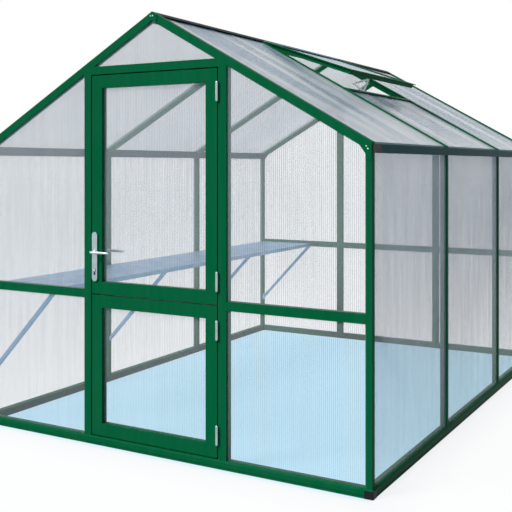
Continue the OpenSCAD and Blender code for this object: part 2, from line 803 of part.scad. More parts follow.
// A long plate with round ends, bored for the lever's neck and cut for the key cylinder.
module lock_plate(y0, y1) {
    straight = lock_plate_l / 2 - lock_plate_w / 2;
    difference() {
        translate([lock_x, 0, lock_z]) run_y(y0, y1) {
            for (z = [-straight, straight]) translate([0, z]) circle(d = lock_plate_w, $fn = 64);
            square([lock_plate_w, 2 * straight], center = true);
        }
        translate([lock_x, 0, lever_z]) run_y(y0 - 1, y1 + 1) circle(d = neck_dia + 2 * neck_play, $fn = 48);
        key_way(y0 - 1, y1 + 1, key_play);
    }
}

module lock_plates() {
    color(silver) placed() {
        lock_plate(-lock_plate_t, 0);
        lock_plate(leaf_d, leaf_d + lock_plate_t);
    }
}

module lock_cylinder() {
    proud = 2;
    color(silver) placed() key_way(-lock_plate_t - proud, leaf_d + lock_plate_t + proud, 0);
}

// One lever: a neck out of the leaf's face, a round elbow and the grip.
module lever() {
    r = lever_dia / 2;
    grip = lever_l - r;
    translate([lock_x, 0, lever_z]) {
        run_y(-lever_out, -neck_play) circle(d = neck_dia, $fn = 48);
        translate([0, -lever_out, 0]) sphere(r = r, $fn = 48);
        translate([0, -lever_out, 0]) rotate([0, 90, 0]) cylinder(r = r, h = grip, $fn = 48);
        translate([grip, -lever_out, 0]) sphere(r = r, $fn = 48);
    }
}

module levers() {
    half = spindle_w / 2;
    color(silver) placed() {
        lever();
        translate([0, leaf_d, 0]) mirror([0, 1, 0]) lever();
        translate([lock_x, 0, lever_z]) block([-half, -lock_plate_t, -half], [half, leaf_d + lock_plate_t, half]);
    }
}

gable_sills();
side_sills();
corner_caps();
corner_posts();
side_bars();
eave_beams();
ridge_beam();
gable_rafters();
roof_bars();
joint_plates();
door_posts();
door_header();
door_stops();
front_mid_rails();
rear_mullions();
rear_rails();
front_sheets();
rear_sheets();
left_side_sheets();
right_side_sheets();
left_roof_sheets();
right_roof_sheets();
vent_sill_bar();
vent_side_rails();
vent_end_rails();
vent_sheet();
vent_hinge_rod();
vent_stay();
shelf_boards();
shelf_rails();
shelf_bearers();
shelf_braces();
frame_hinge_halves();
upper_leaf_stiles();
upper_leaf_rails();
upper_leaf_sheet();
upper_hinge_halves();
lower_leaf_stiles();
lower_leaf_rails();
lower_leaf_sheet();
lower_hinge_halves();
lock_plates();
lock_cylinder();
levers();
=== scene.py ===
import math

import bmesh
import bpy
from mathutils import Matrix, Vector


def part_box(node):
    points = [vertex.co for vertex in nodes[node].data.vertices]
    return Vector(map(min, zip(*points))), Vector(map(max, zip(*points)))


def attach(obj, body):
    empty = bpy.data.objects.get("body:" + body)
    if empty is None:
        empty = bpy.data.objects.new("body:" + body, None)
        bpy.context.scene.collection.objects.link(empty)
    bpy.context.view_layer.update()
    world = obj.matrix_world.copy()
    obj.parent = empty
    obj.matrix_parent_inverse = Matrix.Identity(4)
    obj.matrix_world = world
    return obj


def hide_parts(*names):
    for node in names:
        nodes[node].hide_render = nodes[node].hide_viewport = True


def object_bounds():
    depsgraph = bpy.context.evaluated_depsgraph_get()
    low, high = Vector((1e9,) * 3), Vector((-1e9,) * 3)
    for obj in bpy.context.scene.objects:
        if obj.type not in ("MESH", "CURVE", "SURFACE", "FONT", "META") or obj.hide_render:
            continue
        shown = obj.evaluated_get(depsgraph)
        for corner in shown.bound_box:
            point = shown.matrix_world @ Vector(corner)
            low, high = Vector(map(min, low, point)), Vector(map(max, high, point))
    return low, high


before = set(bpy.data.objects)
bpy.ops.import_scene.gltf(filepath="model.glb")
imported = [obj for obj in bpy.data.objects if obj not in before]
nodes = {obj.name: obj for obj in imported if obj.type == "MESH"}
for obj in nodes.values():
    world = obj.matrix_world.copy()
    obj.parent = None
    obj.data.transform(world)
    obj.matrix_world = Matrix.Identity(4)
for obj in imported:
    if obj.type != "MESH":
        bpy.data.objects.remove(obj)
cad_low, cad_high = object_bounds()


# The ground: a pale sweep of floor under the house, not part of it. It reads as white
# paper, takes the house's shadow, and carries a painted pale blue shade where the sheets stand over it.

def add_node(tree, kind, inputs=None, **settings):
    """A shader node, each of its inputs linked to a socket or set to a value."""
    made = tree.nodes.new(kind)
    for name, value in settings.items():
        setattr(made, name, value)
    for name, value in (inputs or {}).items():
        if isinstance(value, bpy.types.NodeSocket):
            tree.links.new(value, made.inputs[name])
        else:
            made.inputs[name].default_value = value
    return made


def math_node(tree, kind, first, second=0.0):
    return add_node(tree, "ShaderNodeMath", {0: first, 1: second}, operation=kind).outputs[0]


def ramp(tree, value, low, high, to_low=0.0, to_high=1.0, **settings):
    """A value brought from one range into another, held at its ends."""
    made = add_node(tree, "ShaderNodeMapRange", {"Value": value, "From Min": low, "From Max": high,
                    "To Min": to_low, "To Max": to_high}, **settings)
    return made.outputs[0]


def mix_colour(tree, share, first, second):
    made = add_node(tree, "ShaderNodeMix", {0: share, 6: first, 7: second}, data_type="RGBA")
    return made.outputs[2]


def seen_directly(tree):
    """One for a ray from the camera, and for one that came by way of gloss or glass."""
    path = add_node(tree, "ShaderNodeLightPath")
    by_gloss = math_node(tree, "MAXIMUM", path.outputs["Is Camera Ray"], path.outputs["Is Glossy Ray"])
    return math_node(tree, "MAXIMUM", by_gloss, path.outputs["Is Transmission Ray"])


FLOOR_REACH = 60.0
WHITE = (1.0, 1.0, 1.0, 1.0)
PAPER_WHITE = (0.72, 0.87, 1.0, 1.0)
PAPER_BOUNCE = (0.32, 0.38, 0.45, 1.0)
PAINTED_SHADE_BLUE = (0.53, 0.83, 1.0, 1.0)
GLOW_NEAR = 0.84
GLOW_FAR = 0.96
# How far past the sills the floor's glow and its painted blue shade change, in metres.
GLOW_CHANGES = (-0.08, 0.30)
PAINTED_SHADE_ENDS = (-0.10, 0.02)

floor_mesh = bpy.data.meshes.new("floor")
corners = [(x * FLOOR_REACH, y * FLOOR_REACH, 0) for x, y in ((-1, -1), (1, -1), (1, 1), (-1, 1))]
floor_mesh.from_pydata(corners, [], [(0, 1, 2, 3)])
floor = bpy.data.objects.new("floor", floor_mesh)
bpy.context.scene.collection.objects.link(floor)

paper = bpy.data.materials.new("floor_paper")
paper.use_nodes = True
tree = paper.node_tree
tree.nodes.clear()
place = add_node(tree, "ShaderNodeTexCoord")
parts = add_node(tree, "ShaderNodeSeparateXYZ", {0: place.outputs["Object"]})
past_sides = math_node(tree, "SUBTRACT", math_node(tree, "ABSOLUTE", parts.outputs["X"]), cad_high.x)
past_ends = math_node(tree, "SUBTRACT", math_node(tree, "ABSOLUTE", parts.outputs["Y"]), cad_high.y)
outside = math_node(tree, "MAXIMUM", past_sides, past_ends)
fade = ramp(tree, outside, *GLOW_CHANGES, interpolation_type="SMOOTHSTEP")
direct = seen_directly(tree)
share = math_node(tree, "MULTIPLY", direct, ramp(tree, fade, 0, 1, GLOW_NEAR, GLOW_FAR))
# Painted shade: the glow is pale blue inside the house's footprint and turns white just past the sills.
painted_shade_fade = ramp(tree, outside, *PAINTED_SHADE_ENDS, interpolation_type="SMOOTHSTEP")
glow = add_node(tree, "ShaderNodeEmission", {"Color": mix_colour(tree, painted_shade_fade, PAINTED_SHADE_BLUE, WHITE),
                "Strength": 1.0})
matt = add_node(tree, "ShaderNodeBsdfDiffuse", {"Color": mix_colour(tree, direct, PAPER_BOUNCE, PAPER_WHITE)})
blend = add_node(tree, "ShaderNodeMixShader", {0: share, 1: matt.outputs[0], 2: glow.outputs[0]})
add_node(tree, "ShaderNodeOutputMaterial", {"Surface": blend.outputs[0]})
floor_mesh.materials.append(paper)


# The light: an open bright day brought indoors. One broad warm lamp stands front left and
# high, and a pale sky fills the shade, brighter on the left and bluer on the right.

SKY_FILL = (0.80, 0.91, 1.0, 1.0)
SHADE_FILL = (0.60, 0.82, 1.0, 1.0)
SKY_LEVEL = 0.70
SHADE_LEVEL = 0.08
# Where across the sky, from left to right, its light changes.
SKY_CHANGES = (-0.8, 0.5)
SUN_POWER = 2.7
SUN_SPREAD = 22.0
SUN_FROM = (-0.75, -1.0, 1.05)
SUN_COLOUR = (1.0, 0.97, 0.92)

world = bpy.data.worlds.new("studio")
bpy.context.scene.world = world
world.use_nodes = True
tree = world.node_tree
tree.nodes.clear()
place = add_node(tree, "ShaderNodeTexCoord")
across = add_node(tree, "ShaderNodeSeparateXYZ", {0: place.outputs["Generated"]})
sky_level = ramp(tree, across.outputs["X"], *SKY_CHANGES, SKY_LEVEL, SHADE_LEVEL)
sky_hue = mix_colour(tree, ramp(tree, across.outputs["X"], *SKY_CHANGES), SKY_FILL, SHADE_FILL)
fill = add_node(tree, "ShaderNodeBackground", {"Color": sky_hue, "Strength": sky_level})
backdrop = add_node(tree, "ShaderNodeBackground", {"Color": WHITE, "Strength": 1.0})
blend = add_node(tree, "ShaderNodeMixShader", {0: seen_directly(tree), 1: fill.outputs[0],
                 2: backdrop.outputs[0]})
add_node(tree, "ShaderNodeOutputWorld", {"Surface": blend.outputs[0]})

sun = bpy.data.lights.new("key", "SUN")
sun.energy = SUN_POWER
sun.angle = math.radians(SUN_SPREAD)
sun.color = SUN_COLOUR
sun_object = bpy.data.objects.new("key", sun)
sun_object.rotation_euler = Vector(SUN_FROM).to_track_quat("Z", "Y").to_euler()
bpy.context.scene.collection.objects.link(sun_object)


# The camera: a standing person's eye, off the house's front right corner, held level
# and shifted down so that the posts stay upright.

EYE = (2.730, -5.3605, 1.509)
TURN = 29.64
LENS = 61.78
DROP = -0.1777
SENSOR = 36.0
NEAREST = 0.05
FARTHEST = 200.0
# A look through the house crosses many skins and ribs.
SKINS_IN_LINE = 48

camera = bpy.data.cameras.new("camera")
camera.sensor_width = SENSOR
camera.lens = LENS
camera.shift_y = DROP
camera.clip_start = NEAREST
camera.clip_end = FARTHEST
camera_object = bpy.data.objects.new("camera", camera)
camera_object.location = EYE
camera_object.rotation_euler = (math.radians(90), 0, math.radians(TURN))
bpy.context.scene.collection.objects.link(camera_object)
bpy.context.scene.camera = camera_object
bpy.context.scene.view_settings.view_transform = "Standard"
bpy.context.scene.cycles.transparent_max_bounces = SKINS_IN_LINE


# The base sills: extruded aluminium with a sloping lip, powder coated leaf green.
# They lie on the ground, mitred at the corners, and carry every post.

def make_group(name, takes, gives):
    """A shader node group, its inputs as {name: default} and its outputs as {name: kind}."""
    group = bpy.data.node_groups.new(name, "ShaderNodeTree")
    for label, value in takes.items():
        kind = "NodeSocketVector" if isinstance(value, tuple) else "NodeSocketFloat"
        made = group.interface.new_socket(label, in_out="INPUT", socket_type=kind)
        made.default_value = value
    for label, kind in gives.items():
        group.interface.new_socket(label, in_out="OUTPUT", socket_type=kind)
    return group, group.nodes.new("NodeGroupInput"), group.nodes.new("NodeGroupOutput")


def place_group(tree, group, inputs=None):
    return add_node(tree, "ShaderNodeGroup", inputs, node_tree=group)


# How well the rounded and the true face must agree to read as flat, and as a sharp edge.
STILL_FLAT = 0.995
SHARP_EDGE = 0.85

# Rubbed edges: where two faces meet, the finish is thinner and catches the light.
rubbed_edge, given, made_out = make_group(
    "rubbed_edge", {"Radius": 0.0015, "Breaks": 60.0},
    {"Mask": "NodeSocketFloat", "Normal": "NodeSocketVector"})
rounded = add_node(rubbed_edge, "ShaderNodeBevel", {"Radius": given.outputs["Radius"]}, samples=4)
flat_way = add_node(rubbed_edge, "ShaderNodeNewGeometry")
along = add_node(rubbed_edge, "ShaderNodeVectorMath",
                 {0: rounded.outputs[0], 1: flat_way.outputs["Normal"]}, operation="DOT_PRODUCT")
turned = ramp(rubbed_edge, along.outputs["Value"], STILL_FLAT, SHARP_EDGE)
place = add_node(rubbed_edge, "ShaderNodeTexCoord")
breaks = add_node(rubbed_edge, "ShaderNodeTexNoise", {"Vector": place.outputs["Object"],
                  "Scale": given.outputs["Breaks"], "Detail": 4.0})
kept = ramp(rubbed_edge, breaks.outputs["Fac"], 0.42, 0.62)
rubbed_edge.links.new(math_node(rubbed_edge, "MULTIPLY", turned, kept), made_out.inputs["Mask"])
rubbed_edge.links.new(rounded.outputs[0], made_out.inputs["Normal"])

# Rain runs straight down upright work: a small scale along Z draws its streaks out that way.
STRAIGHT_DOWN = (1, 1, 0.06)

# Weather: slow drifts of tone, rain streaks down the work, and a fine grain of dust.
weather, given, made_out = make_group(
    "weather", {"Drift": 1.6, "Streak": 26.0, "Dust": 420.0, "Fall": STRAIGHT_DOWN},
    {"Tone": "NodeSocketFloat", "Rain": "NodeSocketFloat", "Speck": "NodeSocketFloat"})
place = add_node(weather, "ShaderNodeTexCoord")
drift = add_node(weather, "ShaderNodeTexNoise", {"Vector": place.outputs["Object"],
                 "Scale": given.outputs["Drift"], "Detail": 3.0})
drawn_out = add_node(weather, "ShaderNodeMapping", {"Vector": place.outputs["Object"],
                     "Scale": given.outputs["Fall"]})
rain = add_node(weather, "ShaderNodeTexNoise", {"Vector": drawn_out.outputs[0],
                "Scale": given.outputs["Streak"], "Detail": 5.0, "Roughness": 0.6})
dust = add_node(weather, "ShaderNodeTexNoise", {"Vector": place.outputs["Object"],
                "Scale": given.outputs["Dust"], "Detail": 2.0})
weather.links.new(ramp(weather, drift.outputs["Fac"], 0.3, 0.7), made_out.inputs["Tone"])
weather.links.new(ramp(weather, rain.outputs["Fac"], 0.35, 0.75), made_out.inputs["Rain"])
weather.links.new(ramp(weather, dust.outputs["Fac"], 0.45, 0.75), made_out.inputs["Speck"])


def new_material(name):
    material = bpy.data.materials.new(name)
    material.use_nodes = True
    return material, material.node_tree, material.node_tree.nodes["Principled BSDF"]


def add_bump(tree, shader, height, strength, distance, normal=None):
    """Small relief on a finish, on top of a normal where there is one."""
    inputs = {"Height": height, "Strength": strength, "Distance": distance}
    if normal:
        inputs["Normal"] = normal
    bump = add_node(tree, "ShaderNodeBump", inputs)
    tree.links.new(bump.outputs[0], shader.inputs["Normal"])


TONE_SHARE = 0.35
RAIN_SHARE = 0.025
RAIN_MARK = (0.30, 0.40, 0.36, 1)
RUB_SHARE = 0.35
RUBBED_GREEN = (0.10, 0.34, 0.22, 1)
PEEL_SCALE = 520.0


def powder_coat(name, colour, pale, rough):
    """Baked powder on aluminium: orange peel, faint streaks, paler where edges are rubbed."""
    material, tree, shader = new_material(name)
    edge = place_group(tree, rubbed_edge, {"Radius": 0.0018, "Breaks": 70.0})
    air = place_group(tree, weather)
    toned = mix_colour(tree, math_node(tree, "MULTIPLY", air.outputs["Tone"], TONE_SHARE), colour, pale)
    streaked = mix_colour(tree, math_node(tree, "MULTIPLY", air.outputs["Rain"], RAIN_SHARE),
                          toned, RAIN_MARK)
    rubbed = mix_colour(tree, math_node(tree, "MULTIPLY", edge.outputs["Mask"], RUB_SHARE),
                        streaked, RUBBED_GREEN)
    tree.links.new(rubbed, shader.inputs["Base Color"])
    tree.links.new(ramp(tree, air.outputs["Speck"], 0, 1, rough - 0.06, rough + 0.10),
                   shader.inputs["Roughness"])
    place = add_node(tree, "ShaderNodeTexCoord")
    peel = add_node(tree, "ShaderNodeTexNoise", {"Vector": place.outputs["Object"], "Scale": PEEL_SCALE,
                    "Detail": 1.0})
    add_bump(tree, shader, peel.outputs["Fac"], 0.18, 0.0004, edge.outputs["Normal"])
    shader.inputs["Specular IOR Level"].default_value = 0.012
    return material


def dress(material, *names):
    """Give CAD nodes a finish."""
    for name in names:
        for slot in nodes[name].material_slots:
            slot.material = material


LEAF_GREEN = (0.0003, 0.128, 0.045, 1)
PALE_GREEN = (0.0006, 0.158, 0.060, 1)
green_coat = powder_coat("green_powder_coat", LEAF_GREEN, PALE_GREEN, 0.42)
dress(green_coat, "gable_sills", "side_sills")


# The corner caps: moulded black nylon shoes pushed over the sill mitres,
# and the flat covers that close the ends of the gutters.

def moulded(name, colour, pale, rough):
    """Injection moulded plastic: a fine spark grain and scuffs on its edges."""
    material, tree, shader = new_material(name)
    edge = place_group(tree, rubbed_edge, {"Radius": 0.0015, "Breaks": 120.0})
    air = place_group(tree, weather, {"Drift": 9.0, "Streak": 60.0, "Dust": 900.0})
    dusty = mix_colour(tree, math_node(tree, "MULTIPLY", air.outputs["Speck"], 0.25), colour, pale)
    scuffed = mix_colour(tree, math_node(tree, "MULTIPLY", edge.outputs["Mask"], 0.5), dusty, pale)
    tree.links.new(scuffed, shader.inputs["Base Color"])
    tree.links.new(ramp(tree, air.outputs["Tone"], 0, 1, rough - 0.05, rough + 0.1),
                   shader.inputs["Roughness"])
    add_bump(tree, shader, air.outputs["Speck"], 0.25, 0.0003, edge.outputs["Normal"])
    shader.inputs["Specular IOR Level"].default_value = 0.12
    return material


black_nylon = moulded("black_nylon", (0.012, 0.013, 0.014, 1), (0.06, 0.065, 0.07, 1), 0.5)
dress(black_nylon, "corner_caps")


# The skeleton: grooved aluminium extrusions, powder coated and screwed together. Posts,
# bars and rafters are leaf green; the gutters along the eaves take a cooler teal that is a painted bluish
# reflection, and the ridge a near black that is painted shade.

dress(green_coat, "corner_posts", "side_bars", "gable_rafters", "roof_bars")
# Painted reflection: the gutters' cooler teal stands for a bluish reflection on the same green coat.
gutter_painted_reflection_coat = powder_coat("gutter_powder_coat_painted_reflection", (0.016, 0.100, 0.105, 1), (0.030, 0.135, 0.140, 1), 0.38)
dress(gutter_painted_reflection_coat, "eave_beams")
# Painted shade: the ridge's near black stands for shade on the same green extrusion.
ridge_painted_shade_coat = powder_coat("ridge_powder_coat_painted_shade", (0.0012, 0.010, 0.009, 1), (0.0030, 0.018, 0.016, 1), 0.45)
dress(ridge_painted_shade_coat, "ridge_beam")


# The gable posts and rails: green extrusions that frame the doorway and the panes on each
# side of it, with flat strips screwed inside that the door leaves close against.

dress(green_coat, "door_posts", "door_header", "door_stops", "front_mid_rails", "rear_mullions", "rear_rails")


# The joint plates: pressed green plates over the ridge and eave joints of both gables,
# each held with two domed rivets of plain zinc.

def new_piece(name, mesh_maker, material, body, smooth=True):
    """A piece from bmesh work, riding on a body."""
    work = bmesh.new()
    mesh_maker(work)
    bmesh.ops.recalc_face_normals(work, faces=work.faces)
    mesh = bpy.data.meshes.new(name)
    work.to_mesh(mesh)
    work.free()
    mesh.materials.append(material)
    for face in mesh.polygons:
        face.use_smooth = smooth
    made = bpy.data.objects.new(name, mesh)
    bpy.context.scene.collection.objects.link(made)
    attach(made, body)
    return made


def turn_to(direction):
    """The turn that takes +Z to a direction."""
    return Vector(direction).to_track_quat("Z", "Y").to_matrix().to_4x4()


def lathe(work, profile, at, direction, steps=20):
    """A turned shape: (radius, height) pairs spun about an axis through a point."""
    place = Matrix.Translation(Vector(at)) @ turn_to(direction)
    angles = [2 * math.pi * k / steps for k in range(steps)]
    rings = []
    for radius, height in profile:
        spun = angles if radius else angles[:1]
        rings.append([work.verts.new(place @ Vector((radius * math.cos(a), radius * math.sin(a), height)))
                      for a in spun])
    for low, high in zip(rings, rings[1:]):
        for k in range(steps):
            a, b = low[k % len(low)], low[(k + 1) % len(low)]
            c, d = high[(k + 1) % len(high)], high[k % len(high)]
            work.faces.new(list(dict.fromkeys((a, b, c, d))))
    for ring in (rings[0], rings[-1]):
        if len(ring) > 1:
            work.faces.new(ring)


def dome(radius, height, seat=0.0006):
    """The outline of a domed head, set a little into what it holds."""
    angles = [math.radians(d) for d in (0, 25, 50, 72)]
    rise = [(radius * math.cos(a), height * math.sin(a)) for a in angles]
    return [(radius, -seat)] + rise + [(0.0, height)]


BARE_SHINE = (0.92, 0.93, 0.94, 1)
NO_GRAIN = (1, 1, 1)


def brushed(name, colour, pale, rough, grain=NO_GRAIN, metal=1.0):
    """Bare metal with a drawn grain: fine lines along the work, fingerprints of tarnish."""
    material, tree, shader = new_material(name)
    edge = place_group(tree, rubbed_edge, {"Radius": 0.0012, "Breaks": 90.0})
    air = place_group(tree, weather, {"Drift": 12.0, "Streak": 80.0, "Dust": 700.0})
    place = add_node(tree, "ShaderNodeTexCoord")
    drawn = add_node(tree, "ShaderNodeMapping", {"Vector": place.outputs["Object"], "Scale": grain})
    lines = add_node(tree, "ShaderNodeTexNoise", {"Vector": drawn.outputs[0], "Scale": 60.0, "Detail": 6.0})
    toned = mix_colour(tree, air.outputs["Tone"], colour, pale)
    worn = mix_colour(tree, math_node(tree, "MULTIPLY", edge.outputs["Mask"], 0.4), toned, BARE_SHINE)
    tree.links.new(worn, shader.inputs["Base Color"])
    shader.inputs["Metallic"].default_value = metal
    tree.links.new(ramp(tree, lines.outputs["Fac"], 0.3, 0.7, rough - 0.08, rough + 0.12),
                   shader.inputs["Roughness"])
    add_bump(tree, shader, lines.outputs["Fac"], 0.15, 0.0002, edge.outputs["Normal"])
    return material


RIDGE_TOP = cad_high.z
POST_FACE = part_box("corner_posts")[1].x
RIVET_RADIUS = 0.0038
RIVET_RISE = 0.0016
# Rivets at the ridge, off the middle and under the top; at an eave, in from the post's face and up.
RIDGE_RIVET = (0.006, 0.024)
EAVE_RIVETS = ((0.027, 1.595), (0.019, 1.583))


def plate_rivets(work):
    plate_low, plate_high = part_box("joint_plates")
    spots = [(side * RIDGE_RIVET[0], RIDGE_TOP - RIDGE_RIVET[1]) for side in (1, -1)]
    for side in (-1, 1):
        spots += [(side * (POST_FACE - inward), z) for inward, z in EAVE_RIVETS]
    for y, way in ((plate_low.y, -1), (plate_high.y, 1)):
        for x, z in spots:
            lathe(work, dome(RIVET_RADIUS, RIVET_RISE), (x, y, z), (0, way, 0), 16)


dress(green_coat, "joint_plates")
rivet_zinc = brushed("rivet_zinc", (0.36, 0.52, 0.44, 1), (0.52, 0.68, 0.60, 1), 0.34)
new_piece("plate_rivets", plate_rivets, rivet_zinc, "house")


# The sheets: twin-wall clear sheet, two thin skins held apart by ribs at every flute.
# They slide into the grooves of the frame, flutes upright on the walls and down the roof.

SHEET_PITCH = 0.0105
SKIN = 0.0005
RIB = 0.0005

flutes, given, made_out = make_group(
    "flutes", {"Across": 0.0, "Pitch": SHEET_PITCH},
    {"Rib": "NodeSocketFloat", "Dip": "NodeSocketFloat"})
turns = math_node(flutes, "DIVIDE", given.outputs["Across"], given.outputs["Pitch"])
part = math_node(flutes, "FRACT", turns)
from_middle = math_node(flutes, "ABSOLUTE", math_node(flutes, "SUBTRACT", part, 0.5))
flutes.links.new(ramp(flutes, from_middle, 0.40, 0.50), made_out.inputs["Rib"])
flutes.links.new(ramp(flutes, from_middle, 0.0, 0.5), made_out.inputs["Dip"])

CLEAR_SHEET_IOR = 1.58
RIB_HAZE = (0.88, 0.92, 0.95, 1)
# The haze on a sheet thins towards the ground, between these heights and down to this share.
MIST_HEIGHTS = (0.05, 1.15)
MIST_LOW = 0.40
# A sheet's far skin is seen through the near one and adds little.
FAR_SKIN = 0.2
# The roof's outer skin: painted glints drawn out down the slope, and a painted highlight strip along the
# eave.
PAINTED_GLINT_SCALE = (0.35, 2.8, 0.35)
PAINTED_GLINT_COLOUR = (0.96, 0.98, 1.0, 1)
EAVE_PAINTED_HIGHLIGHT = (1.60, 1.78)
# Painted light: the roof sheet's downward faces take this pale colour, its upward faces the darker tint.
PAINTED_LIT_UNDERSIDE = (0.94, 0.95, 0.96, 1)
INNER_SHARE = 0.55


def painted_glints_down_slope(tree, place, height, share, hazed, outer):
    """A roof sheet's colour: painted glints on its upward skin, and painted light that makes its downward
    skin plain and pale.
    """
    drawn_out = add_node(tree, "ShaderNodeMapping", {"Vector": place, "Scale": PAINTED_GLINT_SCALE})
    cloud = add_node(tree, "ShaderNodeTexNoise", {"Vector": drawn_out.outputs[0], "Scale": 1.5,
                     "Detail": 1.0, "Distortion": 0.1})
    # Painted highlights: pale streaks down the slope and a pale strip just above the eave.
    low_edge = ramp(tree, height, *EAVE_PAINTED_HIGHLIGHT, 0.75, 0.0)
    bright = math_node(tree, "MAXIMUM", ramp(tree, cloud.outputs["Fac"], 0.50, 0.64), low_edge)
    banded = mix_colour(tree, math_node(tree, "MULTIPLY", bright, share), hazed, PAINTED_GLINT_COLOUR)
    return mix_colour(tree, outer, PAINTED_LIT_UNDERSIDE, banded)


def haze_by_height(tree, height):
    return ramp(tree, height, *MIST_HEIGHTS, MIST_LOW, 1.0)


def twin_wall(name, axis, clear, dense, tint, pale, gloss, bands=0.0, fall=STRAIGHT_DOWN):
    """Fluted sheet: axis crosses the flutes, clear and dense are its haze seen square and along."""
    material, tree, shader = new_material(name)
    place = add_node(tree, "ShaderNodeTexCoord").outputs["Object"]
    parts = add_node(tree, "ShaderNodeSeparateXYZ", {0: place})
    face = add_node(tree, "ShaderNodeNewGeometry")
    lines = place_group(tree, flutes, {"Across": parts.outputs[axis]})
    air = place_group(tree, weather, {"Drift": 1.1, "Streak": 5.0, "Dust": 260.0, "Fall": fall})

    mixed = math_node(tree, "ADD", math_node(tree, "MULTIPLY", air.outputs["Tone"], 0.4),
                      math_node(tree, "MULTIPLY", air.outputs["Rain"], 0.6))
    toned = mix_colour(tree, mixed, tint, pale)
    colour = mix_colour(tree, math_node(tree, "MULTIPLY", lines.outputs["Rib"], 0.35), toned, RIB_HAZE)
    facing = add_node(tree, "ShaderNodeLayerWeight", {"Blend": 0.45})
    film = ramp(tree, facing.outputs["Facing"], 0.0, 1.0, clear, dense)
    ribbed = math_node(tree, "ADD", film, math_node(tree, "MULTIPLY", lines.outputs["Rib"], 0.07))
    dirty = math_node(tree, "ADD", ribbed, math_node(tree, "MULTIPLY", air.outputs["Speck"], 0.015))
    haze = math_node(tree, "MULTIPLY", dirty, haze_by_height(tree, parts.outputs["Z"]))
    if bands:
        # Painted light and shade: upward faces take the dark roof tint and glints, downward faces turn pale.
        way_up = add_node(tree, "ShaderNodeSeparateXYZ", {0: face.outputs["True Normal"]})
        outer = ramp(tree, way_up.outputs["Z"], -0.3, 0.3)
        colour = painted_glints_down_slope(tree, place, parts.outputs["Z"], bands, colour, outer)
        haze = math_node(tree, "MULTIPLY", haze, ramp(tree, outer, 0, 1, INNER_SHARE, 1.0))
    near_skin = ramp(tree, face.outputs["Backfacing"], 0, 1, 1.0, FAR_SKIN)

    tree.links.new(colour, shader.inputs["Base Color"])
    tree.links.new(ramp(tree, air.outputs["Rain"], 0, 1, 0.16, 0.30), shader.inputs["Roughness"])
    tree.links.new(math_node(tree, "MULTIPLY", haze, near_skin), shader.inputs["Alpha"])
    add_bump(tree, shader, lines.outputs["Dip"], 0.12, 0.0004)
    shader.inputs["IOR"].default_value = CLEAR_SHEET_IOR
    shader.inputs["Specular IOR Level"].default_value = gloss
    return material


SKIN_TINT = (0.74, 0.78, 0.84, 1)
SKIN_PALE = (0.92, 0.95, 0.99, 1)
# Painted shade: the right wall's sheet colour, darker and bluer than the same sheet elsewhere.
PAINTED_SHADE_TINT = (0.22, 0.32, 0.50, 1)
PAINTED_SHADE_PALE = (0.58, 0.70, 0.90, 1)
# Painted shade: the roof's sheet is a darker, bluer copy of the wall sheet.
ROOF_PAINTED_SHADE_TINT = (0.04, 0.17, 0.32, 1)
ROOF_PAINTED_SHADE_PALE = (0.17, 0.40, 0.62, 1)
DOWN_THE_ROOF = (0.1, 1, 0.1)

wall_film = twin_wall("twin_wall_gable", "X", 0.14, 0.50, SKIN_TINT, SKIN_PALE, 0.35)
# The right wall gets a darker, bluer copy of the sheet as painted shade, and the left wall a clearer copy as
# painted light for its sunlit side.
painted_shade_side_film = twin_wall("twin_wall_painted_shade", "Y", 0.20, 0.50, PAINTED_SHADE_TINT, PAINTED_SHADE_PALE, 0.25)
painted_sun_side_film = twin_wall("twin_wall_painted_sun", "Y", 0.10, 0.26, SKIN_TINT, SKIN_PALE, 0.3)
roof_painted_shade_film = twin_wall("twin_wall_roof_painted_shade", "Y", 0.12, 0.86, ROOF_PAINTED_SHADE_TINT, ROOF_PAINTED_SHADE_PALE, 0.12, 0.8, DOWN_THE_ROOF)
dress(wall_film, "front_sheets", "rear_sheets")
dress(painted_shade_side_film, "right_side_sheets")
dress(painted_sun_side_film, "left_side_sheets")
dress(roof_painted_shade_film, "left_roof_sheets", "right_roof_sheets")

RIB_TINT = (0.66, 0.69, 0.72, 1)
RIB_PALE = (0.86, 0.88, 0.90, 1)

rib_film, tree, shader = new_material("sheet_ribs")
air = place_group(tree, weather, {"Drift": 2.0, "Streak": 30.0, "Dust": 300.0})
tree.links.new(mix_colour(tree, air.outputs["Tone"], RIB_TINT, RIB_PALE), shader.inputs["Base Color"])
tree.links.new(ramp(tree, air.outputs["Speck"], 0, 1, 0.25, 0.40), shader.inputs["Roughness"])
place = add_node(tree, "ShaderNodeTexCoord")
parts = add_node(tree, "ShaderNodeSeparateXYZ", {0: place.outputs["Object"]})
tree.links.new(math_node(tree, "MULTIPLY", ramp(tree, air.outputs["Rain"], 0, 1, 0.09, 0.17),
                         haze_by_height(tree, parts.outputs["Z"])), shader.inputs["Alpha"])

# A sheet stands 8 mm in its grooves and a rib 7 mm, and no rib stands right at a sheet's edge.
SHEET_SEAT = 0.008
RIB_SEAT = 0.007
EDGE_FREE = 0.2


def thin_wall(work, corners, push):
    """A thin flat wall: four corners in order, thickened both ways along push."""
    push = Vector(push)
    near = [work.verts.new(Vector(c) - push) for c in corners]
    far = [work.verts.new(Vector(c) + push) for c in corners]
    work.faces.new(near)
    work.faces.new(list(reversed(far)))
    for k in range(4):
        work.faces.new((near[k], near[(k + 1) % 4], far[(k + 1) % 4], far[k]))


def flute_lines(low, high):
    """Where the ribs stand between two edges, on one grid for the whole house."""
    first = math.ceil(low / SHEET_PITCH + EDGE_FREE)
    last = math.floor(high / SHEET_PITCH - EDGE_FREE)
    return [k * SHEET_PITCH for k in range(first, last + 1)]


